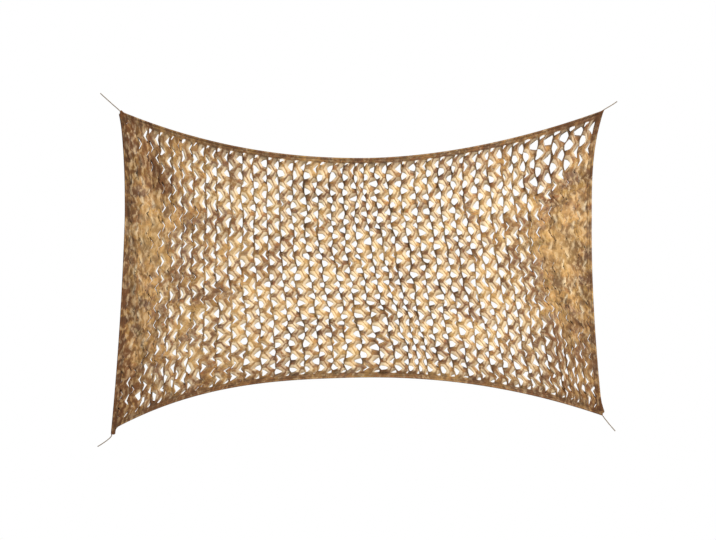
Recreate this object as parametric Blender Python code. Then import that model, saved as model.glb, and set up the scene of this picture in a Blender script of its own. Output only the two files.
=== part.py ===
"""A camouflage net: one cut cloth, hemmed on its four sides and stretched flat by a cord at each corner.

The net hangs upright in the X-Z plane with its front facing -Y. The origin is the middle of its top edge, and
sizes are in metres. The cloth's cuts pull open into columns of three-cornered gaps, whose flat sides lie along
upright strands. They stay shut along both ends of the net.
"""

import math
import random
from collections import namedtuple

import bmesh
import bpy
from mathutils import Vector
from mathutils.geometry import interpolate_bezier

# The four corners of the hem's outer edge, as (x, z).
TOP_LEFT = Vector((-1.467, 0.285))
TOP_RIGHT = Vector((1.467, 0.291))
BOTTOM_LEFT = Vector((-1.520, -1.651))
BOTTOM_RIGHT = Vector((1.460, -1.563))

# Each side runs left to right or top to bottom and bows into the net. It bows the whole of `bow` at the
# share `peak` of its length, and `rise` and `fall` are the powers of its curve before and after that place.
Side = namedtuple("Side", "start end bow peak rise fall")
TOP = Side(TOP_LEFT, TOP_RIGHT, Vector((0.0, -0.288)), 0.50, 2.10, 1.85)
BOTTOM = Side(BOTTOM_LEFT, BOTTOM_RIGHT, Vector((0.0, 0.276)), 0.48, 2.70, 2.10)
LEFT = Side(TOP_LEFT, BOTTOM_LEFT, Vector((0.045, 0.0)), 0.33, 2.00, 2.00)
RIGHT = Side(TOP_RIGHT, BOTTOM_RIGHT, Vector((-0.073, 0.0)), 0.40, 3.50, 1.80)

# Hem: the cloth's edge folded over a rope and stitched down. Half its thickness at each inset from the edge.
CLOTH_HALF = 0.0006
HEM_WIDTH = 0.027
HemLine = namedtuple("HemLine", "inset half")
HEM = (
    HemLine(0.000, 0.0022),
    HemLine(0.003, 0.0048),
    HemLine(0.008, 0.0048),
    HemLine(0.012, 0.0022),
    HemLine(0.0255, 0.0018),
)
# The left hem's open end runs on below the bottom corner, by these lengths.
TAIL = (0.008, 0.017, 0.024)
TAIL_ROUNDING = 0.006
# Ends of the other hems stand out as ears. Rim points near (x, z) are pushed by (push_x, push_z).
Ear = namedtuple("Ear", "x z push_x push_z")
EARS = (
    Ear(-1.455, 0.279, -0.002, 0.009),
    Ear(-1.466, 0.259, -0.011, 0.005),
    Ear(1.462, 0.288, 0.004, 0.006),
    Ear(1.459, -1.536, 0.016, -0.002),
)
EAR_RADIUS = 0.013

# Cuts: columns of gaps, two between each strand and the next, set half a row apart.
PITCHES = 20  # across, from strand to strand
HALF_ROWS = 16  # down
PITCH_SPREAD = 0.11  # a pitch is this share wider than the mean in the middle, and narrower at the ends
ROW_SPREAD = 0.10  # a row is this share higher than the mean at the top, and lower at the foot
TIP = 0.25  # in pitches, how far the line between two columns of gaps zigzags each way
STRAND_ZIGZAG = 0.03  # in pitches, the same for a strand
# A gap at its widest, in pitches from its strand and in rows from its middle.
FLAT_AT, FLAT_HALF = 0.05, 0.29
TIP_AT, TIP_HALF = 0.62, 0.07
HEM_MARGIN = 0.07  # in rows, the cloth left between the hem and a gap cut off by it
CUT_OFF_TIP = 0.20  # in pitches, how much less far such a gap's tip reaches
TWIST = 0.011  # how far a gap's edges lean out: forwards on the right of a strand, backwards on its left
# The cuts open up between these shares of the width, over a length of `OPEN_EDGE` at each end.
OPEN_FROM, OPEN_TO, OPEN_EDGE = 0.055, 0.90, 0.16
UNEVEN = 0.15  # how unevenly they open
UNEVEN_SEED = 4
LEAST_OPEN = 0.22  # cuts less open than this stay shut

# Depth of the sheet. It bellies back between its hems, and soft folds run from its corners and down its ends.
BELLY = 0.030
Fold = namedtuple("Fold", "x_top z_top x_foot z_foot half_width height")
FOLDS = (
    Fold(-1.43, 0.24, -1.27, -0.55, 0.050, -0.016),
    Fold(-1.43, -0.30, -1.38, -1.30, 0.045, 0.012),
    Fold(-1.44, -1.55, -1.15, -1.05, 0.055, -0.012),
    Fold(1.38, 0.15, 1.25, -0.55, 0.050, 0.012),
    Fold(1.36, -0.25, 1.38, -1.30, 0.045, -0.014),
    Fold(1.22, -0.35, 1.26, -1.25, 0.045, -0.010),
)
FOLD_FADE = 0.14  # the length over which a fold runs out at its ends

# Cords: the ends of the hem's rope, which leave at the corners and are pulled nearly straight.
CORD_RADIUS = 0.003
CORD_GAP = 0.0004
CORD_STEP = 0.013
CORD_SAG = 0.003
CORD_LEAVE = 0.012  # how far a cord keeps the way in which it leaves the hem
# A cord leaves the rim near `root` along (way_x, way_z) and ends at `end`.
Cord = namedtuple("Cord", "name root way_x way_z end")
CORDS = (
    Cord("cord_top_left", TOP_LEFT, -0.70, 0.71, Vector((-1.585, 0.392))),
    Cord("cord_top_right", TOP_RIGHT, 0.86, 0.51, Vector((1.546, 0.342))),
    Cord("cord_bottom_left", BOTTOM_LEFT, -0.065, -1.0, Vector((-1.602, -1.749))),
    Cord("cord_bottom_right", BOTTOM_RIGHT, 0.55, -0.83, Vector((1.535, -1.655))),
)


def clear_scene():
    for item in list(bpy.data.objects):
        bpy.data.objects.remove(item, do_unlink=True)


def material(name, colour, roughness):
    made = bpy.data.materials.new(name)
    made.use_nodes = True
    shader = made.node_tree.nodes["Principled BSDF"]
    shader.inputs["Base Color"].default_value = (*colour, 1.0)
    shader.inputs["Roughness"].default_value = roughness
    shader.inputs["Metallic"].default_value = 0.0
    return made


def place_object(name, data, finish):
    data.materials.append(finish)
    item = bpy.data.objects.new(name, data)
    bpy.context.scene.collection.objects.link(item)
    return item


def smooth(value):
    value = min(1.0, max(0.0, value))
    return value * value * (3 - 2 * value)


# Outline


def side_point(side, share):
    if share < side.peak:
        drop = (1 - share / side.peak) ** side.rise
    else:
        drop = ((share - side.peak) / (1 - side.peak)) ** side.fall
    return side.start.lerp(side.end, share) + side.bow * (1 - drop)


def outline_point(across, down):
    """A point of the sheet, spread evenly between its four sides, as (x, z)."""
    between = (1 - down) * side_point(TOP, across) + down * side_point(BOTTOM, across)
    beside = (1 - across) * side_point(LEFT, down) + across * side_point(RIGHT, down)
    corners = (1 - down) * TOP_LEFT.lerp(TOP_RIGHT, across) + down * BOTTOM_LEFT.lerp(BOTTOM_RIGHT, across)
    return between + beside - corners


def hem_shares(across, down):
    """The hem's width at a place of the edge, as shares of the width and of the height."""
    step = 0.004
    low_a, high_a = max(0.0, across - step), min(1.0, across + step)
    low_d, high_d = max(0.0, down - step), min(1.0, down + step)
    wide = (outline_point(high_a, down) - outline_point(low_a, down)) / (high_a - low_a)
    high = (outline_point(across, high_d) - outline_point(across, low_d)) / (high_d - low_d)
    area = abs(wide.cross(high))
    return HEM_WIDTH * high.length / area, HEM_WIDTH * wide.length / area


# A line of the sheet's grid: its share between the hems, and from -1 to 1 how far it lies into a hem.
Line = namedtuple("Line", "share hem")


def sheet_place(column, row):
    """The point where two lines cross, as (x, z)."""
    left, right = hem_shares(0.0, row.share)[0], hem_shares(1.0, row.share)[0]
    top, foot = hem_shares(column.share, 0.0)[1], hem_shares(column.share, 1.0)[1]
    across = left + column.share * (1 - left - right) + column.hem * (left if column.hem < 0 else right)
    down = top + row.share * (1 - top - foot) + row.hem * (top if row.hem < 0 else foot)
    return outline_point(across, down)


# Depth


def fold_depth(fold, x, z):
    """The depth of one fold at a point: a soft ridge along a straight line, run out at its ends."""
    top = Vector((fold.x_top, fold.z_top))
    run = Vector((fold.x_foot, fold.z_foot)) - top
    offset = Vector((x, z)) - top
    along = offset.dot(run.normalized())
    across = (offset - along * run.normalized()).length
    ends = smooth(along / FOLD_FADE + 0.5) * smooth((run.length - along) / FOLD_FADE + 0.5)
    return fold.height * ends * math.exp(-((across / fold.half_width) ** 2))


def depth(x, z):
    """The sheet's depth behind the plane of its corners."""
    across = min(1.0, max(0.0, (x - TOP_LEFT.x) / (TOP_RIGHT.x - TOP_LEFT.x)))
    top, foot = side_point(TOP, across).y, side_point(BOTTOM, across).y
    down = min(1.0, max(0.0, (top - z) / (top - foot)))
    belly = BELLY * math.sin(math.pi * across) * math.sin(math.pi * down)
    return belly + sum(fold_depth(fold, x, z) for fold in FOLDS)


def lift(place, lean=0.0):
    return Vector((place.x, depth(place.x, place.y) + lean, place.y))


# Cut cloth


def column_share(line):
    """The share across at which a column line lies. Even lines are strands, odd lines part two columns."""
    at = line / (2 * PITCHES)
    return at - PITCH_SPREAD * math.sin(2 * math.pi * at) / (2 * math.pi)


def row_share(row):
    at = row / HALF_ROWS
    return at + ROW_SPREAD * at * (1 - at)


def opening(line, row):
    """How far the cuts are pulled open, from 0 to 1, at a place of the grid."""
    across, down = column_share(line), row_share(row)
    slow = math.sin(0.42 * line + 0.35 * row) * math.sin(0.23 * line - 0.51 * row + 1.0)
    quick = random.Random(UNEVEN_SEED + 100 * int(2 * line) + int(2 * row)).uniform(-1, 1)
    corner = math.exp(-(((across - 0.02) / 0.16) ** 2) - ((down - 0.02) / 0.30) ** 2)
    foot = math.exp(-(((across - 0.02) / 0.14) ** 2) - ((down - 1.0) / 0.25) ** 2)
    start = OPEN_FROM + 0.07 * corner + 0.05 * foot
    end = OPEN_TO + 0.07 * math.exp(-((down / 0.22) ** 2)) - 0.05 * math.exp(-(((down - 1) / 0.3) ** 2))
    opened = smooth((across - start) / OPEN_EDGE + 0.5) * smooth((end - across) / OPEN_EDGE + 0.5)
    return opened * (1 - UNEVEN * (1 - 0.5 * slow - 0.5 * quick))


def grid_columns():
    hem = [line.inset / HEM_WIDTH - 1 for line in HEM]
    inner = [Line(column_share(line), 0.0) for line in range(2 * PITCHES + 1)]
    return [Line(0.0, at) for at in hem] + inner + [Line(1.0, -at) for at in reversed(hem)]


def grid_rows():
    hem = [line.inset / HEM_WIDTH - 1 for line in HEM]
    inner = [Line(row_share(row), 0.0) for row in range(HALF_ROWS + 1)]
    return [Line(0.0, at) for at in hem] + inner + [Line(1.0, -at) for at in reversed(hem)]


def half_thickness(line):
    inset = HEM_WIDTH * (1 - abs(line.hem))
    halves = [entry.half for entry in HEM if abs(entry.inset - inset) < 1e-6]
    return halves[0] if halves else CLOTH_HALF


def zigzag(line, row):
    """How far a crossing is moved along its row, in column lines."""
    if line in (0, 2 * PITCHES) or row in (0, HALF_ROWS):
        return 0.0
    reach = TIP if line % 2 else STRAND_ZIGZAG
    return 2 * reach * (1 if row % 2 == 0 else -1)


def ear_push(place):
    """How far the hem's rim is pushed out at a place."""
    pushed = Vector((0.0, 0.0))
    for ear in EARS:
        near = smooth(1 - (place - Vector((ear.x, ear.z))).length / EAR_RADIUS)
        pushed += near * Vector((ear.push_x, ear.push_z))
    return pushed


def gap_corners(line, top, foot):
    """The four corners of the gap between a column line and the next, or none where its cut stays shut."""
    opened = opening(line + 0.5, (top + foot) / 2)
    if opened < LEAST_OPEN:
        return None
    strand, way = (line, 1) if line % 2 == 0 else (line + 1, -1)
    tip_at = FLAT_AT + (TIP_AT - FLAT_AT) * opened
    lean = -way * TWIST * opened
    if foot - top == 2:
        middle, heights = (top + foot) / 2, (-FLAT_HALF, -TIP_HALF, TIP_HALF, FLAT_HALF)
    elif top == 0:
        middle, heights = top, (HEM_MARGIN, HEM_MARGIN, HEM_MARGIN + TIP_HALF, FLAT_HALF)
    else:
        middle, heights = foot, (-FLAT_HALF, -HEM_MARGIN - TIP_HALF, -HEM_MARGIN, -HEM_MARGIN)
    if foot - top == 1:
        tip_at -= CUT_OFF_TIP
    corners = []
    for out, high in zip((FLAT_AT, tip_at, tip_at, FLAT_AT), heights):
        column = Line(column_share(strand + way * 2 * out), 0.0)
        place = sheet_place(column, Line(row_share(middle + 2 * high), 0.0))
        corners.append(lift(place, lean))
    return corners


def cell_rows(line):
    """The half rows at which the cells between a column line and the next are parted."""
    inner = [row for row in range(1, HALF_ROWS) if (row + line) % 2]
    return [0, *inner, HALF_ROWS]


THICKEST = max(line.half for line in HEM)


def add_vertex(mesh, place, half):
    """A vertex with its share of the greatest thickness."""
    vertex = mesh.verts.new(place)
    vertex[mesh.verts.layers.deform.active][0] = half / THICKEST
    return vertex


def build_grid(mesh):
    """Vertices at the crossings of all the grid's lines."""
    columns, rows = grid_columns(), grid_rows()
    hem_lines = len(HEM)
    grid = []
    for across, column in enumerate(columns):
        line = across - hem_lines
        stack = []
        for down, row in enumerate(rows):
            half_row = down - hem_lines
            moved = column
            if column.hem == 0 and row.hem == 0:
                moved = Line(column_share(line + zigzag(line, half_row)), 0.0)
            place = sheet_place(moved, row)
            if abs(column.hem) == 1 or abs(row.hem) == 1:
                place = place + ear_push(place)
            half = max(half_thickness(column), half_thickness(row))
            stack.append(add_vertex(mesh, lift(place), half))
        grid.append(stack)
    return grid


def add_hem_faces(mesh, grid):
    """Four-sided faces wherever a column or a row of the grid lies in a hem."""
    hem_lines = len(HEM)
    last_column, last_row = len(grid) - 1, len(grid[0]) - 1
    for across in range(last_column):
        side_hem = across < hem_lines or across >= last_column - hem_lines
        for down in range(last_row):
            if side_hem or down < hem_lines or down >= last_row - hem_lines:
                mesh.faces.new((
                    grid[across][down],
                    grid[across][down + 1],
                    grid[across + 1][down + 1],
                    grid[across + 1][down],
                ))


def tail_place(place, length):
    """The point of the tail that lies in line with `place` at a length past the bottom corner."""
    run = (side_point(LEFT, 1.0) - side_point(LEFT, 0.97)).normalized()
    along = (place - BOTTOM_LEFT).dot(run)
    return place + (length - along) * run


def add_tail(mesh, grid):
    """The left hem's open end below the bottom corner, cut square with its corners rounded off."""
    above = [stack[-1] for stack in grid[:len(HEM) + 1]]
    starts = [Vector((vertex.co.x, vertex.co.z)) for vertex in above]
    halves = [line.half for line in HEM] + [HEM[-1].half]
    for length in TAIL:
        row = []
        for start, half in zip(starts, halves):
            at_edge = start in (starts[0], starts[-1])
            reach = length - (TAIL_ROUNDING if at_edge and length == TAIL[-1] else 0.0)
            row.append(add_vertex(mesh, lift(tail_place(start, reach)), half))
        for near, far, low_far, low_near in zip(above, above[1:], row[1:], row):
            mesh.faces.new((near, low_near, low_far, far))
        above = row


def add_cells(mesh, grid):
    """The cloth between the hems, cell by cell, with a gap in each cell whose cut is open."""
    inner = [stack[len(HEM):-len(HEM)] for stack in grid[len(HEM):-len(HEM)]]
    gaps = 0
    for line in range(2 * PITCHES):
        rows = cell_rows(line)
        for top, foot in zip(rows, rows[1:]):
            left = [inner[line][row] for row in range(top, foot + 1)]
            right = [inner[line + 1][row] for row in range(top, foot + 1)]
            places = gap_corners(line, top, foot)
            if places is None:
                add_whole_cell(mesh, left, right)
                continue
            gaps += 1
            corners = [add_vertex(mesh, place, CLOTH_HALF) for place in places]
            if line % 2:
                left, right = right, left
            add_side_faces(mesh, left, corners[0], corners[3])
            add_side_faces(mesh, right, corners[1], corners[2])
            mesh.faces.new((left[0], right[0], corners[1], corners[0]))
            mesh.faces.new((left[-1], right[-1], corners[2], corners[3]))
    return gaps


def add_side_faces(mesh, side, top_corner, foot_corner):
    """The cloth between one side of a cell and the gap's edge beside it."""
    if len(side) == 2:
        mesh.faces.new((*side, foot_corner, top_corner))
        return
    top, middle, foot = side
    mesh.faces.new((top, middle, top_corner))
    mesh.faces.new((middle, foot_corner, top_corner))
    mesh.faces.new((middle, foot, foot_corner))


def add_whole_cell(mesh, left, right):
    rim = left + right[::-1]
    middle = sum((vertex.co for vertex in rim), Vector()) / len(rim)
    centre = add_vertex(mesh, lift(Vector((middle.x, middle.z))), CLOTH_HALF)
    for near, far in zip(rim, rim[1:] + rim[:1]):
        mesh.faces.new((near, far, centre))


def make_net(finish):
    mesh = bmesh.new()
    mesh.verts.layers.deform.verify()
    grid = build_grid(mesh)
    add_hem_faces(mesh, grid)
    add_tail(mesh, grid)
    print("gaps cut through:", add_cells(mesh, grid))
    bmesh.ops.triangulate(mesh, faces=mesh.faces[:])
    bmesh.ops.recalc_face_normals(mesh, faces=mesh.faces[:])
    data = bpy.data.meshes.new("net")
    mesh.to_mesh(data)
    mesh.free()
    net = place_object("net", data, finish)
    net.vertex_groups.new(name="thickness")
    cloth = net.modifiers.new("cloth", "SOLIDIFY")
    cloth.thickness = 2 * THICKEST
    cloth.offset = 0.0
    cloth.vertex_group = "thickness"
    return net


# Cords


def cord_root(cord):
    """Where a cord's inner end faces the hem: a corner's tip, or the rope's place in the tail's end."""
    if cord.root is not BOTTOM_LEFT:
        return cord.root + ear_push(cord.root)
    rope = (HEM[1].inset + HEM[2].inset) / 2 / HEM_WIDTH - 1
    return tail_place(sheet_place(Line(0.0, rope), Line(1.0, 1.0)), TAIL[-1])


def make_cord(cord, finish):
    """A cord's end as a tube, drawn nearly straight but for the way it leaves the hem and a slight sag."""
    root, way = cord_root(cord), Vector((cord.way_x, cord.way_z)).normalized()
    start = root + CORD_GAP * way
    clear = start + CORD_RADIUS * 2 * way
    leave = clear + CORD_LEAVE * way
    hang = leave.lerp(cord.end, 0.5) + Vector((0.0, -CORD_SAG))
    count = round((cord.end - clear).length / CORD_STEP) + 1
    route = [start] + interpolate_bezier(clear, leave, hang, cord.end, count)
    data = bpy.data.curves.new(cord.name, "CURVE")
    data.dimensions = "3D"
    data.bevel_depth = CORD_RADIUS
    data.bevel_resolution = 2
    data.use_fill_caps = True
    spline = data.splines.new("POLY")
    spline.points.add(len(route) - 1)
    back = depth(root.x, root.y)
    for point, place in zip(spline.points, route):
        point.co = (place.x, back, place.y, 1.0)
    tangent = (route[-1] - route[-2]).normalized()
    print(
        cord.name,
        "length", round(sum((b - a).length for a, b in zip(route, route[1:])), 4),
        "end", [round(value, 6) for value in (route[-1].x, back, route[-1].y)],
        "facing", [round(value, 6) for value in (tangent.x, 0.0, tangent.y)],
    )
    return place_object(cord.name, data, finish)


def main():
    clear_scene()
    net_cloth = material("net_cloth", (0.50, 0.37, 0.22), 0.85)
    cord_fibre = material("cord_fibre", (0.55, 0.46, 0.33), 0.8)
    make_net(net_cloth)
    for cord in CORDS:
        make_cord(cord, cord_fibre)


main()
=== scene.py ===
# %% [markdown]
# # A camouflage net
#
# A net of this kind is one printed cloth. It is cut with rows of short slits and hemmed over a rope on
# its four sides. Pulled by its corners, the slits open into three-cornered gaps and the cloth between
# them turns into crooked strips. This lesson cuts, opens and hangs such a cloth, and gives it four
# twisted cords, a printed finish and a plain studio.

# %% The frame
import math
import random
from collections import namedtuple

import bmesh
import bpy
from mathutils import Matrix, Vector, noise
from mathutils.geometry import interpolate_bezier


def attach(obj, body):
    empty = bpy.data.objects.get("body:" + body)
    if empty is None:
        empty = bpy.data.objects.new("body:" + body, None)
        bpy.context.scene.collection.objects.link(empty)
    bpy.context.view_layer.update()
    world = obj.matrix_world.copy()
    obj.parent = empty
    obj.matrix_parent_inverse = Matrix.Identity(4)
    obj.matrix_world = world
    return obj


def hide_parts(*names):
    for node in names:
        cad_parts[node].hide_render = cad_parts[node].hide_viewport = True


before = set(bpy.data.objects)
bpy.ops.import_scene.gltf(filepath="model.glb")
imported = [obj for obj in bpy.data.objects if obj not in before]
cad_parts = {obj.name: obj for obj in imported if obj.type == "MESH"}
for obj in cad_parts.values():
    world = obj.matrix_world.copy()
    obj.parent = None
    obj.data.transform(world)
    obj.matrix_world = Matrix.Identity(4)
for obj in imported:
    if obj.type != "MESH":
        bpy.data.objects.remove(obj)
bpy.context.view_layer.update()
print("solids:", sorted(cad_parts))

# %% [markdown]
# ## Camera
#
# The net is seen squarely from the front. A long lens far away keeps its four hems almost as they are
# on paper. The distance follows from how many metres one pixel of the picture spans at the net.

# %% Camera
PICTURE_WIDTH = 716
METRES_PER_PIXEL = 0.00606
LENS = 85.0
SENSOR = 36.0
AIM = Vector((-0.024, 0.0, -0.679))

distance = PICTURE_WIDTH * METRES_PER_PIXEL * LENS / SENSOR
camera_data = bpy.data.cameras.new("camera")
camera_data.lens = LENS
camera_data.sensor_width = SENSOR
camera_data.clip_end = 100.0
camera = bpy.data.objects.new("camera", camera_data)
camera.location = AIM - Vector((0.0, distance, 0.0))
camera.rotation_euler = (math.radians(90), 0.0, 0.0)
bpy.context.scene.collection.objects.link(camera)
bpy.context.scene.camera = camera
print("camera distance:", round(distance, 3), "m")

# %% [markdown]
# ## Cords
#
# The rope in the hems comes out at the four corners as short free ends, 6 mm thick and drawn nearly
# straight. A bevelled curve would give a smooth tube. A twisted rope is better swept: one ring with three
# lobes is extruded along the route, and every new ring is carried on and turned a little further.

# %% Routes
CORD_RADIUS = 0.003
CORD_GAP = 0.0004
CORD_STEP = 0.013
CORD_SAG = 0.003
CORD_LEAVE = 0.012

# A cord leaves the hem at `root` along `way` and ends at `end`, all as (x, z), at a depth of `back`.
Cord = namedtuple("Cord", "name root way end back length")
CORDS = (
    Cord("cord_top_left", (-1.467, 0.285), (-0.70, 0.71), (-1.585, 0.392), -0.00057, 0.1589),
    Cord("cord_top_right", (1.46931, 0.29446), (0.86, 0.51), (1.546, 0.342), 0.0, 0.0899),
    Cord("cord_bottom_left", (-1.5168, -1.67541), (-0.065, -1.0), (-1.602, -1.749), 0.0, 0.1155),
    Cord("cord_bottom_right", (1.46, -1.563), (0.55, -0.83), (1.535, -1.655), 0.0, 0.1184),
)


def cord_route(cord):
    """The points that a cord's middle runs through, nearly straight but for a slight sag."""
    way, end = Vector(cord.way).normalized(), Vector(cord.end)
    start = Vector(cord.root) + CORD_GAP * way
    clear = start + 2 * CORD_RADIUS * way
    leave = clear + CORD_LEAVE * way
    hang = leave.lerp(end, 0.5) - Vector((0.0, CORD_SAG))
    count = round((end - clear).length / CORD_STEP) + 1
    flat = [start] + interpolate_bezier(clear, leave, hang, end, count)
    return [Vector((point.x, cord.back, point.y)) for point in flat]


for cord in CORDS:
    route = cord_route(cord)
    print(cord.name, "is", round(sum((b - a).length for a, b in zip(route, route[1:])), 4), "m long")

# %% Twisted rope
ROPE_STRANDS = 3
ROPE_LAY = 0.021  # length of one whole turn of the twist
ROPE_GROOVE = 0.17  # how deep the grooves between strands are, as a share of the radius
GROOVE_SHARPNESS = 1.5  # the higher this is, the narrower the grooves
RING_POINTS = 18
RING_STEP = 0.0014


def along(route, length):
    """The place and the direction at a length along a route."""
    for near, far in zip(route, route[1:]):
        step = (far - near).length
        if length <= step or far is route[-1]:
            return near + (far - near) * (length / step), (far - near).normalized()
        length -= step


def ring_frame(route, length):
    """The matrix that carries a ring from the origin to its place on the rope, turned with the twist."""
    place, way = along(route, length)
    turn = Matrix.Rotation(2 * math.pi * length / ROPE_LAY, 4, "Z")
    return Matrix.Translation(place) @ way.to_track_quat("Z", "Y").to_matrix().to_4x4() @ turn


def add_object(name, mesh):
    """Turn a bmesh into an object of the scene."""
    data = bpy.data.meshes.new(name)
    mesh.to_mesh(data)
    mesh.free()
    made = bpy.data.objects.new(name, data)
    bpy.context.scene.collection.objects.link(made)
    return made


def make_rope(cord):
    """One cord as a rope piece: a lobed ring, extruded along its route and closed at both ends."""
    route = cord_route(cord)
    length = sum((b - a).length for a, b in zip(route, route[1:]))
    mesh = bmesh.new()
    bmesh.ops.create_circle(mesh, cap_ends=True, segments=RING_POINTS, radius=CORD_RADIUS)
    for vertex in mesh.verts:
        lobe = abs(math.sin(math.atan2(vertex.co.y, vertex.co.x) * ROPE_STRANDS / 2))
        vertex.co *= 1 - ROPE_GROOVE * (1 - lobe) ** GROOVE_SHARPNESS
    rings = round(length / RING_STEP)
    before = ring_frame(route, 0.0)
    bmesh.ops.transform(mesh, matrix=before, verts=mesh.verts)
    edges = mesh.edges[:]
    for ring in range(1, rings + 1):
        made = bmesh.ops.extrude_edge_only(mesh, edges=edges)["geom"]
        edges = [item for item in made if isinstance(item, bmesh.types.BMEdge)]
        verts = [item for item in made if isinstance(item, bmesh.types.BMVert)]
        after = ring_frame(route, length * ring / rings)
        bmesh.ops.transform(mesh, matrix=after @ before.inverted(), verts=verts)
        before = after
    bmesh.ops.edgeloop_fill(mesh, edges=edges)
    bmesh.ops.recalc_face_normals(mesh, faces=mesh.faces)
    rope = add_object(cord.name + "_rope", mesh)
    rope.data.shade_smooth()
    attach(rope, "root")
    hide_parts(cord.name)
    return rope


ropes = [make_rope(cord) for cord in CORDS]
print("ropes:", {rope.name: len(rope.data.polygons) for rope in ropes})

# %% [markdown]
# ## Outline of the net
#
# The net is held by its corners alone, so each side bows inwards. A side is a straight line plus a bow
# that grows by a power of the distance from its deepest place. Every other point is spread evenly between
# the four sides, which is known as a Coons patch. Modelling the outline point by point would also work,
# but a formula can be asked for any place on the sheet, and the cuts will need thousands of them.

# %% Outline
TOP_LEFT = Vector((-1.467, 0.285))
TOP_RIGHT = Vector((1.467, 0.291))
BOTTOM_LEFT = Vector((-1.520, -1.651))
BOTTOM_RIGHT = Vector((1.460, -1.563))

Side = namedtuple("Side", "start end bow peak rise fall")
TOP = Side(TOP_LEFT, TOP_RIGHT, Vector((0.0, -0.288)), 0.50, 2.10, 1.85)
BOTTOM = Side(BOTTOM_LEFT, BOTTOM_RIGHT, Vector((0.0, 0.276)), 0.48, 2.70, 2.10)
LEFT = Side(TOP_LEFT, BOTTOM_LEFT, Vector((0.045, 0.0)), 0.33, 2.00, 2.00)
RIGHT = Side(TOP_RIGHT, BOTTOM_RIGHT, Vector((-0.073, 0.0)), 0.40, 3.50, 1.80)


def side_point(side, share):
    """A point of a side, at a share of the way from its start to its end, as (x, z)."""
    if share < side.peak:
        drop = (1 - share / side.peak) ** side.rise
    else:
        drop = ((share - side.peak) / (1 - side.peak)) ** side.fall
    return side.start.lerp(side.end, share) + side.bow * (1 - drop)


def outline_point(across, down):
    """A point of the sheet, spread evenly between its four sides, as (x, z)."""
    between = (1 - down) * side_point(TOP, across) + down * side_point(BOTTOM, across)
    beside = (1 - across) * side_point(LEFT, down) + across * side_point(RIGHT, down)
    corners = (1 - down) * TOP_LEFT.lerp(TOP_RIGHT, across) + down * BOTTOM_LEFT.lerp(BOTTOM_RIGHT, across)
    return between + beside - corners


print("middle of the net:", [round(value, 3) for value in outline_point(0.5, 0.5)])

# %% [markdown]
# ## Folds
#
# The sheet is not flat. It bellies back a little between its hems, and tension draws soft ridges and
# troughs from the corners and down both gathered ends. A cloth simulation would put such folds wherever
# it likes, so each fold is listed one by one, as a ridge or a trough along a straight line.

# %% Folds
BELLY = 0.026  # how far back the middle hangs
FOLD_FADE = 0.14  # over what length a fold runs out at its ends
Fold = namedtuple("Fold", "x_top z_top x_foot z_foot half_width height")
FOLDS = (
    Fold(-1.43, 0.24, -1.27, -0.55, 0.050, -0.016),
    Fold(-1.43, -0.30, -1.38, -1.30, 0.045, 0.012),
    Fold(-1.44, -1.55, -1.15, -1.05, 0.055, -0.012),
    Fold(1.38, 0.15, 1.25, -0.55, 0.050, 0.012),
    Fold(1.36, -0.25, 1.38, -1.30, 0.045, -0.014),
    Fold(1.22, -0.35, 1.26, -1.25, 0.045, -0.010),
)


def clamp(value, low=0.0, high=1.0):
    """The value, kept between `low` and `high`."""
    return min(high, max(low, value))


def smooth(value):
    """0 up to 0, 1 from 1 on, and a soft rise between."""
    value = clamp(value)
    return value * value * (3 - 2 * value)


def fold_depth(fold, x, z):
    """The depth of one fold at a point: a soft ridge along a straight line, run out at its ends."""
    top = Vector((fold.x_top, fold.z_top))
    run = Vector((fold.x_foot, fold.z_foot)) - top
    offset = Vector((x, z)) - top
    at = offset.dot(run.normalized())
    aside = (offset - at * run.normalized()).length
    ends = smooth(at / FOLD_FADE + 0.5) * smooth((run.length - at) / FOLD_FADE + 0.5)
    return fold.height * ends * math.exp(-((aside / fold.half_width) ** 2))


def depth(x, z):
    """The sheet's depth behind the plane of its corners."""
    across = clamp((x - TOP_LEFT.x) / (TOP_RIGHT.x - TOP_LEFT.x))
    top, foot = side_point(TOP, across).y, side_point(BOTTOM, across).y
    down = clamp((top - z) / (top - foot))
    belly = BELLY * math.sin(math.pi * across) * math.sin(math.pi * down)
    return belly + sum(fold_depth(fold, x, z) for fold in FOLDS)


print("deepest place:", round(depth(0.0, -0.68), 3), "m behind the corners")

# %% [markdown]
# ## From the flat cloth to the hung net
#
# The cloth is drawn in its own units: one column line is half the pitch from strand to strand, and one
# row line is half a gap's height. Lines beyond these lie in the hem. The next functions say where a point
# of this drawing ends up once the net is stretched. A lattice modifier could bend the drawing as well,
# but functions keep the hem at one width on all four sides.

# %% Stretching
PITCHES = 38
COLUMNS = 2 * PITCHES
ROWS = 31
PITCH_SPREAD = 0.11  # how much wider the pitch is in the middle than on average
ROW_SPREAD = 0.10  # how much higher the top rows are than on average, and the bottom rows lower
HEM_WIDTH = 0.027
CLOTH_HALF = 0.0004  # half the cloth's thickness
EDGE_STEP = 0.004  # the share of a side over which its length is measured

# Strands lean by up to `reach` of the width, between `start` and `end` of it, growing and fading softly.
Lean = namedtuple("Lean", "reach start growth end fade")
RIGHT_LEAN = Lean(0.066, 0.44, 0.14, 1.00, 0.12)
LEFT_LEAN = Lean(0.036, 0.12, 0.22, 0.64, 0.14)
LEFT_LEAN_FROM = 0.25  # the share of the height above which the left half doesn't lean
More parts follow.
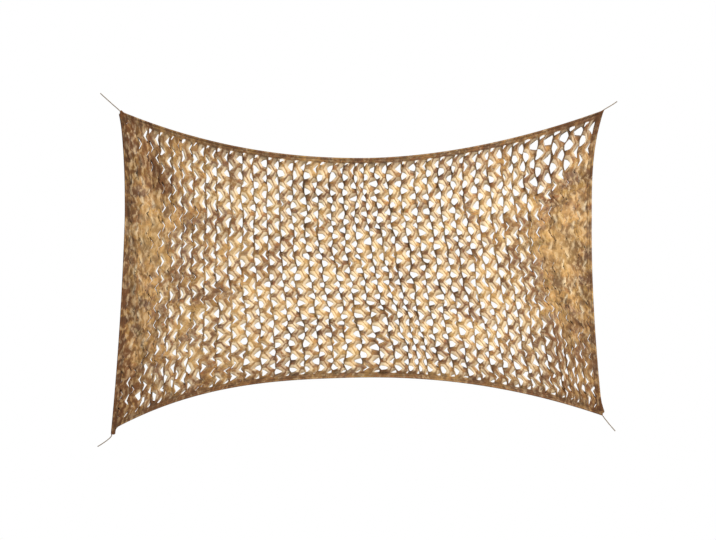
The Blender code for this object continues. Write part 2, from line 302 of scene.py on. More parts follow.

# Half the hem's thickness at each inset from its edge: folded edge, rope, and the two layers sewn down.
# `shade` is how much painted shade and dirt darken the cloth there, most in the dents beside the rope and
# the seam.
HemLine = namedtuple("HemLine", "inset half shade")
HEM = (
    HemLine(0.0000, 0.0018, 1.0),
    HemLine(0.0018, 0.0040, 0.55),
    HemLine(0.0060, 0.0048, 0.25),
    HemLine(0.0110, 0.0030, 0.6),
    HemLine(0.0135, 0.0014, 0.9),
    HemLine(0.0220, 0.0017, 0.45),
)
SEAM_SHADE = 1.0
HEM_LINES = len(HEM)
THICKEST = max(line.half for line in HEM)


def column_share(line):
    """How far across the net a column line lies, from 0 to 1."""
    at = line / COLUMNS
    return at - PITCH_SPREAD * math.sin(2 * math.pi * at) / (2 * math.pi)


def row_share(row):
    """How far down the net a row line lies, from 0 to 1."""
    at = row / ROWS
    return at + ROW_SPREAD * at * (1 - at)


def hem_reach(line, count):
    """How far into a hem a line lies, from 0 at its seam to -1 or 1 at its outer edge."""
    if 0 <= line <= count:
        return 0.0
    beyond = -line if line < 0 else line - count
    reach = 1 - HEM[HEM_LINES - round(beyond)].inset / HEM_WIDTH
    return -reach if line < 0 else reach


def hem_shares(across, down):
    """The hem's width at a place of the edge, as shares of the width and of the height."""
    low_a, high_a = max(0.0, across - EDGE_STEP), min(1.0, across + EDGE_STEP)
    low_d, high_d = max(0.0, down - EDGE_STEP), min(1.0, down + EDGE_STEP)
    wide = (outline_point(high_a, down) - outline_point(low_a, down)) / (high_a - low_a)
    high = (outline_point(across, high_d) - outline_point(across, low_d)) / (high_d - low_d)
    area = abs(wide.cross(high))
    return HEM_WIDTH * high.length / area, HEM_WIDTH * wide.length / area


def lean_amount(lean, across):
    """How much of a lean there is at a place across the net."""
    grown = smooth((across - lean.start) / lean.growth)
    return lean.reach * grown * smooth((lean.end - across) / lean.fade)


def sway(across, down):
    """How far a strand is pulled aside at a height, as a share of the width. The strands lean to the right
    going down, over all of the net's right half and over the foot of its left half."""
    foot = smooth((down - LEFT_LEAN_FROM) / (1 - LEFT_LEAN_FROM))
    return lean_amount(RIGHT_LEAN, across) * (down - 0.5) + lean_amount(LEFT_LEAN, across) * foot


def stretched(line, row):
    """The place of a point of the drawing on the stretched net, as (x, z)."""
    column = column_share(clamp(line, 0.0, COLUMNS))
    level = row_share(clamp(row, 0.0, ROWS))
    column += sway(column, level)
    left, right = hem_shares(0.0, level)[0], hem_shares(1.0, level)[0]
    top, foot = hem_shares(column, 0.0)[1], hem_shares(column, 1.0)[1]
    side, end = hem_reach(line, COLUMNS), hem_reach(row, ROWS)
    across = left + column * (1 - left - right) + side * (left if side < 0 else right)
    down = top + level * (1 - top - foot) + end * (top if end < 0 else foot)
    return outline_point(across, down)


middle_pitch = (stretched(40, 15) - stretched(38, 15)).length
print("pitch in the middle:", round(middle_pitch * 1000), "mm")

# %% [markdown]
# ## Cutting the cloth
#
# Each slit sits in a cell one column wide and two rows high, half a row lower in every second column. A
# grid gives the cells, dissolving every second edge joins them in pairs, and insetting each joined face
# leaves a rim of cloth round an inner face. That inner face is the slit: its corners are later moved, and
# the face itself is deleted. Over a thousand boolean cuts would be slow and leave ragged faces, while
# working with whole cells keeps the cloth one connected sheet.

# %% Grid
SLIT_INSET = 0.15  # any small rim will do, because the corners of each slit are placed afterwards


def flat_grid():
    """The drawing: one square for every column and row line, with the hem's lines round it."""
    mesh = bmesh.new()
    wide, high = COLUMNS + 2 * HEM_LINES, ROWS + 2 * HEM_LINES
    bmesh.ops.create_grid(mesh, x_segments=wide, y_segments=high, size=0.5)
    for vertex in mesh.verts:
        vertex.co.x = round((vertex.co.x + 0.5) * wide) - HEM_LINES
        vertex.co.y = round((vertex.co.y + 0.5) * high) - HEM_LINES
    return mesh


def inside(item):
    """Whether a face or an edge of the drawing lies between the hems."""
    middle = sum((vertex.co for vertex in item.verts), Vector()) / len(item.verts)
    return 0 < middle.x < COLUMNS and 0 < middle.y < ROWS


cloth = flat_grid()
rungs = []
for edge in cloth.edges:
    near, far = edge.verts
    if near.co.y == far.co.y and inside(edge) and (min(near.co.x, far.co.x) + near.co.y) % 2 == 0:
        rungs.append(edge)
bmesh.ops.dissolve_edges(cloth, edges=rungs, use_verts=False)
cells = [face for face in cloth.faces if inside(face)]
bmesh.ops.inset_individual(cloth, faces=cells, thickness=SLIT_INSET, use_even_offset=True)
print("cells:", len(cells), "faces:", len(cloth.faces))

# %% [markdown]
# ## Slits
#
# A shut slit is a chevron whose ends lie on the strand beside it. Pulled open, its strand side is drawn
# straight and its other side stays bent, which makes a triangle with its flat side upright. Shape keys
# could blend the two, but only all slits at once. Here one number from 0 to 1 does so for each slit, and
# the same function draws the flat cloth and the hung net.

# %% Slit shape
STRAND_HALF = 0.026  # in pitches, from a strand to the flat side of a gap
SHUT_END, OPEN_END = 0.31, 0.23  # in rows, from a slit's middle to its ends
SHUT_REACH = 0.40  # in pitches, from a strand to the bend of a shut slit
OPEN_REACH = 0.42  # the same for the tip of an open gap
TIP_HALF = 0.07  # in rows, half the blunt tip of an open gap
TIP_CORNERS = 0.96  # how far the tip's two corners reach, as a share of the tip's own reach
FANNED_WIDER = 0.065  # in pitches, how much further the widest gaps of the upper right corner reach
FANNED_END, FANNED_TIP = 1.3, 1.4  # in rows for each pitch wider, how much higher their ends and tips are
HEM_MARGIN = 0.07  # in rows, the cloth left between the hem and a gap cut off by it
SEALED = 0.045  # a slit less open than this can't be told from whole cloth, and is left as that
OVERLAP, SHUT_WIDTH = -0.06, 0.012  # in pitches, how far apart a slit's two edges lie as it starts to open
OVERLAP_FADE = 0.12  # how much further it is pulled open until they lie side by side

Cell = namedtuple("Cell", "strand way middle top foot")


def blend(low, high, share):
    """The number that lies at a share of the way from one to another."""
    return low + (high - low) * share


def cell_of(face):
    """The strand, the side of it and the rows of the cell that a slit face lies in."""
    xs = [vertex.co.x for vertex in face.verts]
    ys = [vertex.co.y for vertex in face.verts]
    line = math.floor((min(xs) + max(xs)) / 2)
    top, foot = math.floor(min(ys)), math.ceil(max(ys))
    strand, way = (line, 1) if line % 2 == 0 else (line + 1, -1)
    middle = (top + foot) / 2
    if foot - top == 1:
        middle = top if top == 0 else foot
    return Cell(strand, way, middle, top, foot)


def slit_point(cell, on_strand, level, opened, wider=0.0):
    """A corner of a slit in the drawing's units. `level` is -1, 0 or 1 from its upper to its lower end."""
    drawn = 1 - (1 - opened) ** 2
    parted = 1.0 if opened < SEALED else smooth((opened - SEALED) / OVERLAP_FADE)
    if on_strand:
        reach = STRAND_HALF if level else blend(SHUT_REACH, STRAND_HALF, drawn)
        high = (blend(SHUT_END, OPEN_END, opened) + wider * FANNED_END) * level
    else:
        bend = blend(SHUT_REACH, OPEN_REACH, opened) + blend(OVERLAP, SHUT_WIDTH, parted) + wider
        corner = blend(STRAND_HALF + SHUT_WIDTH, OPEN_REACH * TIP_CORNERS + wider, opened)
        reach = corner if level else bend
        high = blend(SHUT_END, TIP_HALF + wider * FANNED_TIP, opened) * level
    row = cell.middle + 2 * high
    row = min(cell.foot - 2 * HEM_MARGIN, row) if cell.foot == ROWS else row
    row = max(cell.top + 2 * HEM_MARGIN, row) if cell.top == 0 else row
    return Vector((cell.strand + cell.way * 2 * reach, row))


print("a gap at its widest spans", round((OPEN_REACH - STRAND_HALF) * middle_pitch * 1000), "mm")

# %% [markdown]
# ## How far the slits are pulled open
#
# The pull of the corners opens the middle of the net most. Both gathered ends and the rows beside the
# upper and lower hems stay nearly shut, while the lower corners hang a little looser and the upper right
# corner is fanned out. Opening every slit alike would look like a machine-made grid. So a curve across the
# net is adjusted near each of these places, a slow noise varies it, and each slit adds its own chance.

# %% Opening
UNEVEN_SEED = 4
SLOW_CHANGE, QUICK_CHANGE = 0.35, 0.42  # how much the slow noise and each slit's own chance change the pull
SLOW_NOISE = (6, 4, 1.7)  # waves across and down the net, and a layer of the noise
MOST_OPEN = 1.25  # a slit can be drawn a little further than fully open
SNAG_SHARE, SNAG_OPEN = 0.13, 0.35  # this share of the slits opens by only so much of its pull
LEAST_HIGH = 0.05  # the least that a sloping region's height shrinks to
OPEN_CURVE = (
    (0.00, 0.00), (0.040, 0.01), (0.058, 0.08), (0.078, 0.17), (0.13, 0.20), (0.17, 0.23), (0.21, 0.29),
    (0.25, 0.40), (0.29, 0.50), (0.35, 0.64), (0.415, 0.76), (0.48, 0.78), (0.54, 0.73), (0.605, 0.68),
    (0.67, 0.64), (0.73, 0.58), (0.795, 0.48), (0.84, 0.34), (0.88, 0.20), (0.905, 0.07), (0.945, 0.01),
    (1.00, 0.00),
)

# An oval part of the net, its middle and size in shares of the net. `change` is how much more open it
# is, or less where that is below 0. Where there is a `slope`, its height shrinks by this going across.
Region = namedtuple("Region", "across down wide high change slope", defaults=(0.0,))
FANNED = Region(0.945, 0.00, 0.10, 0.145, 1.35, 1.5)
LOOSE_CORNERS = (
    Region(0.09, 0.98, 0.08, 0.17, 0.26),
    Region(0.94, 0.98, 0.10, 0.22, 0.24),
)
REGIONS = (
    Region(0.00, 0.22, 0.10, 0.20, -0.75),
    *LOOSE_CORNERS,
    Region(0.065, 0.00, 0.05, 0.11, 0.24),
    Region(0.50, 0.00, 9.00, 0.04, -0.22),
    Region(0.50, 1.00, 9.00, 0.04, -0.25),
    Region(0.22, 1.00, 0.14, 0.09, -0.25),
    FANNED,
)


def wave_noise(x, y, waves):
    """A smooth noise between -1 and 1, from its number of waves in each unit of x and y and its layer."""
    return noise.noise(Vector((waves[0] * x, waves[1] * y, waves[2])))


def nearness(region, across, down):
    """How near a place is to the middle of a region, from 1 there to 0 well outside."""
    high = max(LEAST_HIGH, region.high - region.slope * (across - region.across))
    return math.exp(-(((across - region.across) / region.wide) ** 2) - ((down - region.down) / high) ** 2)


def along_curve(curve, at):
    """The height of a curve at a place, eased from each of its points to the next."""
    for (low, before), (high, after) in zip(curve, curve[1:]):
        if at <= high:
            return blend(before, after, smooth((at - low) / (high - low)))
    return curve[-1][1]


def pull(line, row):
    """How hard the net is pulled apart at a place of the drawing, from 0 to about 1."""
    across, down = column_share(line), row_share(row)
    opened = along_curve(OPEN_CURVE, across)
    for region in REGIONS:
        room = opened if region.change < 0 else 1 - opened
        opened += region.change * nearness(region, across, down) * room
    return opened * (1 + SLOW_CHANGE * wave_noise(across, down, SLOW_NOISE))


def opening(cell):
    """How far a slit is pulled open, from 0 to a little over 1."""
    own_seed = UNEVEN_SEED + 1000 * cell.strand + 10 * int(cell.middle) + cell.way
    chance = random.Random(own_seed)
    change = 1 + QUICK_CHANGE * chance.uniform(-1, 1)
    snag = SNAG_OPEN if chance.random() < SNAG_SHARE else 1.0
    return clamp(pull(cell.strand + cell.way / 2, cell.middle) * change * snag, 0.0, MOST_OPEN)


print("open in the middle:", round(opening(Cell(38, 1, 15, 14, 16)), 2))

# %% [markdown]
# ## Two places for every point
#
# Every point of the drawing gets two places. Its flat place, with all slits shut, is kept as a UV map, so
# that the print and the weave stay on the cloth as it is pulled. Its hung place becomes the mesh. Arms
# join the strands at alternate rows and tug them to and fro, strands wander, and the gathered ends are
# rucked up. A cloth simulation could find such a shape too, but it would take long and never twice alike.

# %% Places
FLAT_WIDTH, FLAT_HEIGHT = 2.95, 1.95
MIDDLE_ZIGZAG = 0.50  # in column lines, how far the line between two columns of slits zigzags each way
STRAND_WAVE, STRAND_UNEVEN = 0.18, 0.22  # the same for a strand, and how unevenly it is pulled
STRAND_NOISE = (3.7, 0.9, 2.5)  # the noise's waves in a column line and in a row, and its layer
PULLED_SOON = 2.5  # the higher this is, the sooner an opening net pulls its strands aside
# The strands wander by these lengths, in metres, in waves about as long as these.
Wander = namedtuple("Wander", "reach length")
WANDERS = (Wander(0.016, 0.40), Wander(0.014, 0.10))
WANDER_FADE = 5  # in column lines, how far inside the hems the strands wander in full
UPRIGHT_LAYER = Vector((9.0, 4.0, 2.0))  # another part of the noise, for wandering up and down
GATHER_RIDGE = 0.024  # how high the gathered ends are rucked up
GATHER_LEFT, GATHER_RIGHT, GATHER_FADE = 0.16, 0.84, 0.10  # shares of the width, where they end
MIDDLE_RUCK = 0.15  # the rucks of the middle, as a share of those in the ends
RUCK_NOISE = (13.0, 3.2, 5.0)  # rucks in a metre across and up, and a layer of the noise
FRONT_MOST, BACK_MOST = -0.0262, 0.0495  # the cloth stays between these depths


def flat_place(line, row):
    """A point's place on the flat cloth in metres, for the UV map."""
    across = clamp(line, 0.0, COLUMNS) / COLUMNS * FLAT_WIDTH + HEM_WIDTH * hem_reach(line, COLUMNS)
    down = clamp(row, 0.0, ROWS) / ROWS * FLAT_HEIGHT + HEM_WIDTH * hem_reach(row, ROWS)
    return Vector((across, FLAT_HEIGHT - down))


def between_hems(line, row):
    """Whether two lines cross between the hems."""
    return 0 < line < COLUMNS and 0 < row < ROWS


def crossing(line, row):
    """Where two lines of the drawing cross once the middle lines zigzag between their slits."""
    if not between_hems(line, row) or line % 2 == 0:
        return Vector((line, row))
    return Vector((line + MIDDLE_ZIGZAG * (1 if row % 2 == 0 else -1), row))


def strand_pull(line, row):
    """How far a strand is pulled aside, in column lines: to the left at even rows and to the right at odd
    rows, where arms are joined to it, and a little at random."""
    if not between_hems(line, row):
        return 0.0
    zigzag = -STRAND_WAVE * math.cos(math.pi * row)
    uneven = 2 * STRAND_UNEVEN * wave_noise(line, row, STRAND_NOISE)
    return (zigzag + uneven) * min(1.0, PULLED_SOON * pull(line, row))


def gather(point, place):
    """Upright rucks in the gathered ends of the net, shallower towards its middle."""
    across = column_share(clamp(point.x, 0.0, COLUMNS))
    end = max(1 - smooth(across / GATHER_LEFT), smooth((across - GATHER_RIGHT) / GATHER_FADE))
    inside = smooth(min(point.x, COLUMNS - point.x, point.y, ROWS - point.y) / 2 + 0.5)
    ruck = wave_noise(place.x, place.y, RUCK_NOISE)
    return GATHER_RIDGE * blend(MIDDLE_RUCK, 1.0, end) * inside * ruck


def hung(point, lean=0.0):
    """The hung place of a point of the drawing."""
    place = stretched(point.x, point.y)
    edge = min(point.x, COLUMNS - point.x, 2 * point.y, 2 * (ROWS - point.y)) / WANDER_FADE
    moved = place.copy()
    for reach, length in WANDERS:
        at = Vector((place.x, place.y, 0.0)) / length
        moved.x += noise.noise(at) * reach * smooth(edge)
        moved.y += noise.noise(at + UPRIGHT_LAYER) * reach * smooth(edge)
    back = depth(moved.x, moved.y) + gather(point, moved) + lean
    return Vector((moved.x, clamp(back, FRONT_MOST, BACK_MOST), moved.y))


print("middle, flat:", [round(value, 3) for value in flat_place(38, 15)])
print("middle, hung:", [round(value, 3) for value in hung(Vector((38, 15)))])

# %% [markdown]
# ## Pulling the slits open
#
# Slit edges stand forwards on the right of a strand and backwards on its left, which turns the strands
# edge-on. Slits that are pulled less than a few hundredths can't be told from whole cloth: their faces are
# kept, and each shows as a crease, a pucker with a painted highlight and painted shade, faint or less faint
# by chance. The corners of the others are pushed a little at random, most in the loose lower corners. The
# finish will need to know where the cloth is cut, folded edge-on or gathered, and so where it gets painted
# highlights and painted shade. A painted picture could say so, but notes on the vertices can't slip off the
# cuts.

# %% Notes kept on the cloth
# What the notes hold: pale rims at cut edges, part wear and part painted highlight; painted shade on
# strands and slit ends; painted shade and dirt in the hems; painted shade and light of darker and paler
# parts; gathering; and creases.
NOTES = ("cut_edge", "painted_shade", "hem_shade", "tone", "gathered", "crease_vert")

flat_layer = cloth.verts.layers.float_vector.new("flat")
cut_layer, shade_layer, hem_layer, tone_layer, gathered_layer, crease_layer = (
    cloth.verts.layers.float.new(name) for name in NOTES
)
cloth.verts.layers.deform.verify()
thickness_layer = cloth.verts.layers.deform.active
print("notes:", cloth.verts.layers.float.keys())

# %% Slit edges
PUCKER = 0.008  # how far a slit's corners stand out at random, in metres
STRAND_LEAN, TIP_LEAN = 0.010, 0.020  # how far a gap's two sides stand out of the sheet, in metres
LEAN_UNEVEN = (0.5, 1.3)  # the least and the most of it, at random
FLAP = 0.0015  # how far the two edges of a slit that starts to open stand out, so that they don't touch
CORNER_JITTER = 0.11  # in column lines
LOOSE_JITTER = 2.5  # how much more the corners are pushed in the loose corners of the net
CORNER_GAP = 0.06  # the least that a slit's corner keeps from the seam
MIDDLE_CREASE, END_CREASE = 0.90, 0.45  # how sharp a slit's corners stay when the mesh is smoothed
CREASE_CUT, CREASE_PUCKER = 0.35, 0.5  # how much a faint crease shows as a cut edge and as a pucker
FANNED_CUT = 0.2  # how much less the cut edges show in the fanned corner
# How far a slit is open when these are complete.
FULL_LEAN, FULL_CUT, FULL_FOLD, FULL_JITTER, FULL_PULL = 0.80, 0.45, 0.40, 0.30, 0.25
# How pale the cloth is at a slit's corners, from wear and a painted highlight, and how dark, from painted
# shade, by level: the middle, the lower and the upper end.
EDGE_TONES = {True: ((0.3, 0.9), (0.0, 1.0), (0.9, 0.5)), False: ((0.9, 0.0), (0.1, 1.0), (1.0, 0.0))}

chance, marks = random.Random(UNEVEN_SEED), random.Random(UNEVEN_SEED + 1)
places, sealed = {}, set()


def note_edge(vertex, on_strand, level, opened, crease, fanned):
    """Write down how pale (worn, with a painted highlight), how dark (painted shade), how gathered and how
    sharp the cloth is at a slit's corner.
    """
    worn, dark = EDGE_TONES[on_strand][level]
    showing = max(smooth(opened / FULL_CUT), CREASE_CUT * crease)
    # Pale rims, partly worn and partly a painted highlight, most at the upper ends and tips of the gaps.
    vertex[cut_layer] = worn * showing * (1 - FANNED_CUT * fanned)
    # Painted shade on strands seen edge-on and at the lower ends of the gaps, and over the fanned corner.
    vertex[shade_layer] = max(dark * max(smooth(opened / FULL_FOLD), crease), fanned)
    vertex[gathered_layer] = 1 - smooth(opened / FULL_PULL)
    vertex[crease_layer] = END_CREASE if level else MIDDLE_CREASE


def edge_lean(cell, on_strand, opened, crease):
    """How far a slit's corner stands behind the sheet, or in front of it below 0."""
    lean = -cell.way * (STRAND_LEAN if on_strand else TIP_LEAN) * smooth(opened / FULL_LEAN)
    lean *= chance.uniform(*LEAN_UNEVEN) if on_strand else 1.0
    flap = 0.0 if opened < SEALED else FLAP * (1 - smooth(opened / FULL_FOLD))
    pucker = PUCKER * max(smooth(opened / FULL_JITTER), CREASE_PUCKER * crease)
    return lean + (-flap if on_strand else flap) + chance.uniform(-1, 1) * pucker


def pushed(value, reach, count):
    """A number moved by up to `reach` either way, but not past the seams."""
    return clamp(value + chance.uniform(-1, 1) * reach, CORNER_GAP, count - CORNER_GAP)


def hang_slit(face):
    """Give each corner of a slit its flat and its hung place."""
    cell = cell_of(face)
    across, down = column_share(cell.strand), row_share(cell.middle)
    opened = opening(cell)
    if opened < SEALED:
        sealed.add(face)
    crease = marks.uniform(0.0, 1.0) if opened < SEALED else 0.0
    fanned = nearness(FANNED, across, down)
    loose = max(nearness(corner, across, down) for corner in LOOSE_CORNERS)
    jitter = CORNER_JITTER * smooth(opened / FULL_JITTER) * (1 + LOOSE_JITTER * loose)
    for vertex in face.verts:
        on_strand = (vertex.co.x - cell.strand - cell.way / 2) * cell.way < 0
        offset = vertex.co.y - cell.middle
        level = 0 if abs(offset) < 0.5 else (1 if offset > 0 else -1)
        shut = slit_point(cell, on_strand, level, 0.0)
        vertex[flat_layer] = flat_place(shut.x, shut.y).to_3d()
        note_edge(vertex, on_strand, level, opened, crease, fanned)
        lean = edge_lean(cell, on_strand, opened, crease)
        point = slit_point(cell, on_strand, level, opened, FANNED_WIDER * fanned)
        if on_strand:
            point.x += strand_pull(cell.strand, point.y)
        point.x = pushed(point.x, jitter, COLUMNS)
        point.y = pushed(point.y, jitter, ROWS)
        places[vertex] = hung(point, lean)


for face in cells:
    hang_slit(face)
print("slits cut:", len(cells) - len(sealed), "left shut:", len(sealed))

# %% [markdown]
# ## Arms, strands and hems
#
# Between the slits, strands stand forwards a little and the arms' ends more, which arches each arm. The
# hem is a tube sewn round the rope, so its lines have their own thickness. The finish shades it in the
# dents beside the rope and the seam. Its ends stand out a little as ears at the corners. One long extruded
# tube would look neater than a sewn hem does, and would not move with the cloth.

# %% Rest of the cloth
RIBBON_RIDGE, STRAND_RIDGE = 0.014, 0.005  # how far an arm's ends stand forwards, so that it is arched
RIDGE_UNEVEN, DARK_UNEVEN = (0.4, 1.6), (0.75, 1.2)  # the least and the most of each, at random
DARK_FROM, DARK_OVER = 0.25, 0.45  # strands get painted shade as the net is pulled, from the first number on
# Ends of the hems stand out as ears. Rim points near (x, z) are pushed by (push_x, push_z).
Ear = namedtuple("Ear", "x z push_x push_z")
EARS = (
    Ear(-1.455, 0.279, -0.002, 0.009),
    Ear(-1.466, 0.259, -0.011, 0.005),
    Ear(1.462, 0.288, 0.004, 0.006),
    Ear(1.459, -1.536, 0.016, -0.002),
)
EAR_RADIUS = 0.013


def ear_push(place):
    """How far the hem's rim is pushed out at a place."""
    push = Vector((0.0, 0.0, 0.0))
    for ear in EARS:
        near = smooth(1 - (place.xz - Vector((ear.x, ear.z))).length / EAR_RADIUS)
        push += near * Vector((ear.push_x, 0.0, ear.push_z))
    return push


def hem_line(line, count):
    """The line of the hem's table that a grid line lies on, or None between the hems."""
    if 0 < line < count:
        return None
    if line in (0, count):
        return HemLine(HEM_WIDTH, CLOTH_HALF, SEAM_SHADE)
    return HEM[HEM_LINES - (-line if line < 0 else line - count)]


def hang_crossing(vertex, line, row):
    """Give a crossing of two lines its flat and its hung place."""
    drawn = crossing(line, row)
    vertex[flat_layer] = flat_place(drawn.x, drawn.y).to_3d()
    on_strand = line % 2 == 0
    if on_strand:
        drawn.x += strand_pull(line, row)
    pulled, inner = min(1.0, pull(line, row)), between_hems(line, row)
    vertex[gathered_layer] = 1 - smooth(pulled / FULL_PULL)
    # Strands get painted shade, more as the net is pulled open.
    dark = smooth((pulled - DARK_FROM) / DARK_OVER) * chance.uniform(*DARK_UNEVEN)
    vertex[shade_layer] = dark if inner and on_strand else 0.0
    ridge = (STRAND_RIDGE if on_strand else RIBBON_RIDGE) * pulled * chance.uniform(*RIDGE_UNEVEN)
    place = hung(drawn, -ridge if inner else 0.0)
    places[vertex] = place if inner else place + ear_push(place)


for vertex in cloth.verts:
    half = CLOTH_HALF
    if vertex not in places:
        line, row = round(vertex.co.x), round(vertex.co.y)
        hang_crossing(vertex, line, row)
        # Hem lines note how much painted shade and dirt darken them.
        for entry in filter(None, (hem_line(line, COLUMNS), hem_line(row, ROWS))):
            half = max(half, entry.half)
            vertex[hem_layer] = max(vertex[hem_layer], entry.shade)
    vertex[thickness_layer][0] = half / THICKEST
print("places:", len(places))

# %% [markdown]
# ## Darker and paler parts
#
# Where the net is gathered, and along its hems and in its corners, painted shade makes darker parts and
# painted light paler ones. They could be painted on by hand. Here a table of regions is added up at every
# point, so a part can be moved by changing one line. After this, every point is moved from the drawing to
# its hung place.

# %% Tones
# Regions of painted shade, where the cloth is darker, or of painted light, where it is paler below 0.
TONES = (
    Region(0.045, 0.12, 0.050, 0.13, 0.60),
    Region(0.080, 0.24, 0.025, 0.08, 0.30),
    Region(0.050, 0.38, 0.030, 0.12, -0.45),
    Region(0.010, 0.66, 0.030, 0.16, 0.35),
    Region(0.040, 0.92, 0.060, 0.12, 0.50),
    Region(0.945, 0.45, 0.035, 0.12, -0.35),
    Region(0.935, 0.88, 0.080, 0.14, 0.60),
    Region(0.500, 0.00, 9.000, 0.06, 0.18),
    Region(0.150, 0.00, 0.100, 0.08, 0.22),
    Region(0.500, 1.00, 9.000, 0.05, 0.20),
    Region(0.220, 1.00, 0.160, 0.11, 0.34),
    Region(0.800, 1.00, 0.140, 0.09, 0.18),
    Region(0.000, 0.50, 0.012, 9.00, 0.40),
    Region(1.000, 0.50, 0.010, 9.00, 0.25),
    Region(0.000, 0.00, 0.020, 0.03, 0.35),
    Region(0.000, 1.00, 0.012, 0.03, 0.35),
    Region(1.000, 1.00, 0.015, 0.03, 0.45),
    Region(1.000, 0.00, 0.010, 0.03, 0.25),
    Region(0.955, 0.02, 0.080, 0.13, 0.35, 1.0),
)
# The tail's edges are picked out while the cloth still lies in the units of the drawing.
last_row = ROWS + HEM_LINES
tail_edges = [edge for edge in cloth.edges if all(v.co.x <= 0 and v.co.y == last_row for v in edge.verts)]

# Each point adds up the painted shade and painted light of the tone regions.
for vertex, place in places.items():
    across = column_share(clamp(vertex.co.x, 0.0, COLUMNS))
    down = row_share(clamp(vertex.co.y, 0.0, ROWS))
    vertex[tone_layer] = sum(region.change * nearness(region, across, down) for region in TONES)
    vertex.co = place
tones = [vertex[tone_layer] for vertex in cloth.verts]
print("tones from", round(min(tones), 2), "to", round(max(tones), 2))

# %% [markdown]
# ## Tail of the left hem
#
# The left hem's open end runs on below the bottom corner as a short tail. A separate strip would show a
# seam, so the hem's own last edges are extruded downwards three times. The cloth is then complete: the
# flat places become its UV map, and the faces of all slits that are pulled open are deleted.

# %% Tail and open slits
TAIL = (0.008, 0.017, 0.024)  # how far below the corner each extrusion ends
TAIL_ROUNDING = 0.006  # how much shorter the last one is at its two corners
TAIL_START = 0.97  # the tail follows the left side's direction from here on

run = (side_point(LEFT, 1.0) - side_point(LEFT, TAIL_START)).normalized()
for length in TAIL:
    made = bmesh.ops.extrude_edge_only(cloth, edges=tail_edges)["geom"]
    tail_edges = [item for item in made if isinstance(item, bmesh.types.BMEdge)]
    for vertex in (item for item in made if isinstance(item, bmesh.types.BMVert)):
        at_edge = sum(edge in tail_edges for edge in vertex.link_edges) == 1
        reach = length - (TAIL_ROUNDING if at_edge and length == TAIL[-1] else 0.0)
        step = reach - (vertex.co.xz - BOTTOM_LEFT).dot(run)
        vertex.co += step * Vector((run.x, 0.0, run.y))
        vertex[flat_layer].y -= step
flat_map = cloth.loops.layers.uv.new("flat_cloth")
for face in cloth.faces:
    for loop in face.loops:
        loop[flat_map].uv = loop.vert[flat_layer].xy
bmesh.ops.delete(cloth, geom=[face for face in cells if face not in sealed], context="FACES_ONLY")
bmesh.ops.recalc_face_normals(cloth, faces=cloth.faces)
print("vertices:", len(cloth.verts), "faces:", len(cloth.faces))

# %% [markdown]
# ## One piece of cloth
#
# Real cloth has soft curves and a thickness. Both could be modelled, but modifiers keep the mesh light:
# one level of subdivision rounds the arms, and Solidify gives each point its thickness from a vertex
# group, thin between the hems and thick in them.

# %% Net piece
net = add_object("net_cloth", cloth)
net.data.shade_smooth()
net.vertex_groups.new(name="thickness")
rounding = net.modifiers.new("rounding", "SUBSURF")
rounding.levels = rounding.render_levels = 1
thickness = net.modifiers.new("thickness", "SOLIDIFY")
thickness.thickness = 2 * THICKEST
thickness.offset = 0.0
thickness.vertex_group = "thickness"
thickness.use_even_offset = False
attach(net, "root")
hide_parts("net")
measured = net.evaluated_get(bpy.context.evaluated_depsgraph_get()).to_mesh()
print("triangles:", sum(len(face.vertices) - 2 for face in measured.polygons))

# %% [markdown]
# ## Finishes
#
# Blender keeps a finish as a tree of nodes. The nodes could be placed and joined by hand, but shader maths
# is easier to read as Python. `Wire` holds one socket of a tree, and the operators on it add Math nodes.
# Its method `node` adds any other node, given its settings and the values of its sockets.

# %% Wires
class Wire:
    """A socket of a material's node tree that can be added, subtracted and multiplied."""

    def __init__(self, tree, socket=None):
        self.tree = tree
        self.socket = socket

    def node(self, kind, settings=None, inputs=None, output=0):
        """Add a node to the tree and return a wire from one of its outputs."""
        made = self.tree.nodes.new(kind)
        for name, value in (settings or {}).items():
            setattr(made, name, value)
        for name, value in (inputs or {}).items():
            if isinstance(value, Wire):
                self.tree.links.new(value.socket, made.inputs[name])
            else:
                made.inputs[name].default_value = value
        return Wire(self.tree, made.outputs[output])

    def maths(self, operation, first, second):
        """Maths on one number."""
        return self.node("ShaderNodeMath", {"operation": operation}, {0: first, 1: second})

    def __add__(self, other):
        return self.maths("ADD", self, other)

    def __rsub__(self, other):
        return self.maths("SUBTRACT", other, self)

    def __mul__(self, other):
        return self.maths("MULTIPLY", self, other)

    def __rmul__(self, other):
        return self.maths("MULTIPLY", other, self)

    def above_zero(self):
        """This where it is above 0, and 0 elsewhere."""
        return self.maths("MAXIMUM", self, 0.0)

    def vector(self, operation, *values):
        """Maths on three numbers at once, with other wires or with tuples of three numbers."""
        return self.node("ShaderNodeVectorMath", {"operation": operation}, dict(enumerate((self, *values))))

    def step(self, low, high, least=0.0, most=1.0):
        """`least` where this is below `low`, `most` where it is above `high`, and smooth between."""
        inputs = {"Value": self, "From Min": low, "From Max": high, "To Min": least, "To Max": most}
        return self.node("ShaderNodeMapRange", {"interpolation_type": "SMOOTHSTEP"}, inputs)

    def between(self, low, high):
        """The first colour where this is 0, and the second where it is 1."""
        return self.node("ShaderNodeMix", {"data_type": "RGBA"}, {0: self, 6: low, 7: high}, output=2)

    def cover(self, colour, mask):
        """This colour, covered by another where the mask is 1."""
        return mask.between(self, colour)


# %% Helpers for finishes
CLOTH_SHINE = 0.25
SHEEN_ROUGHNESS = 0.5


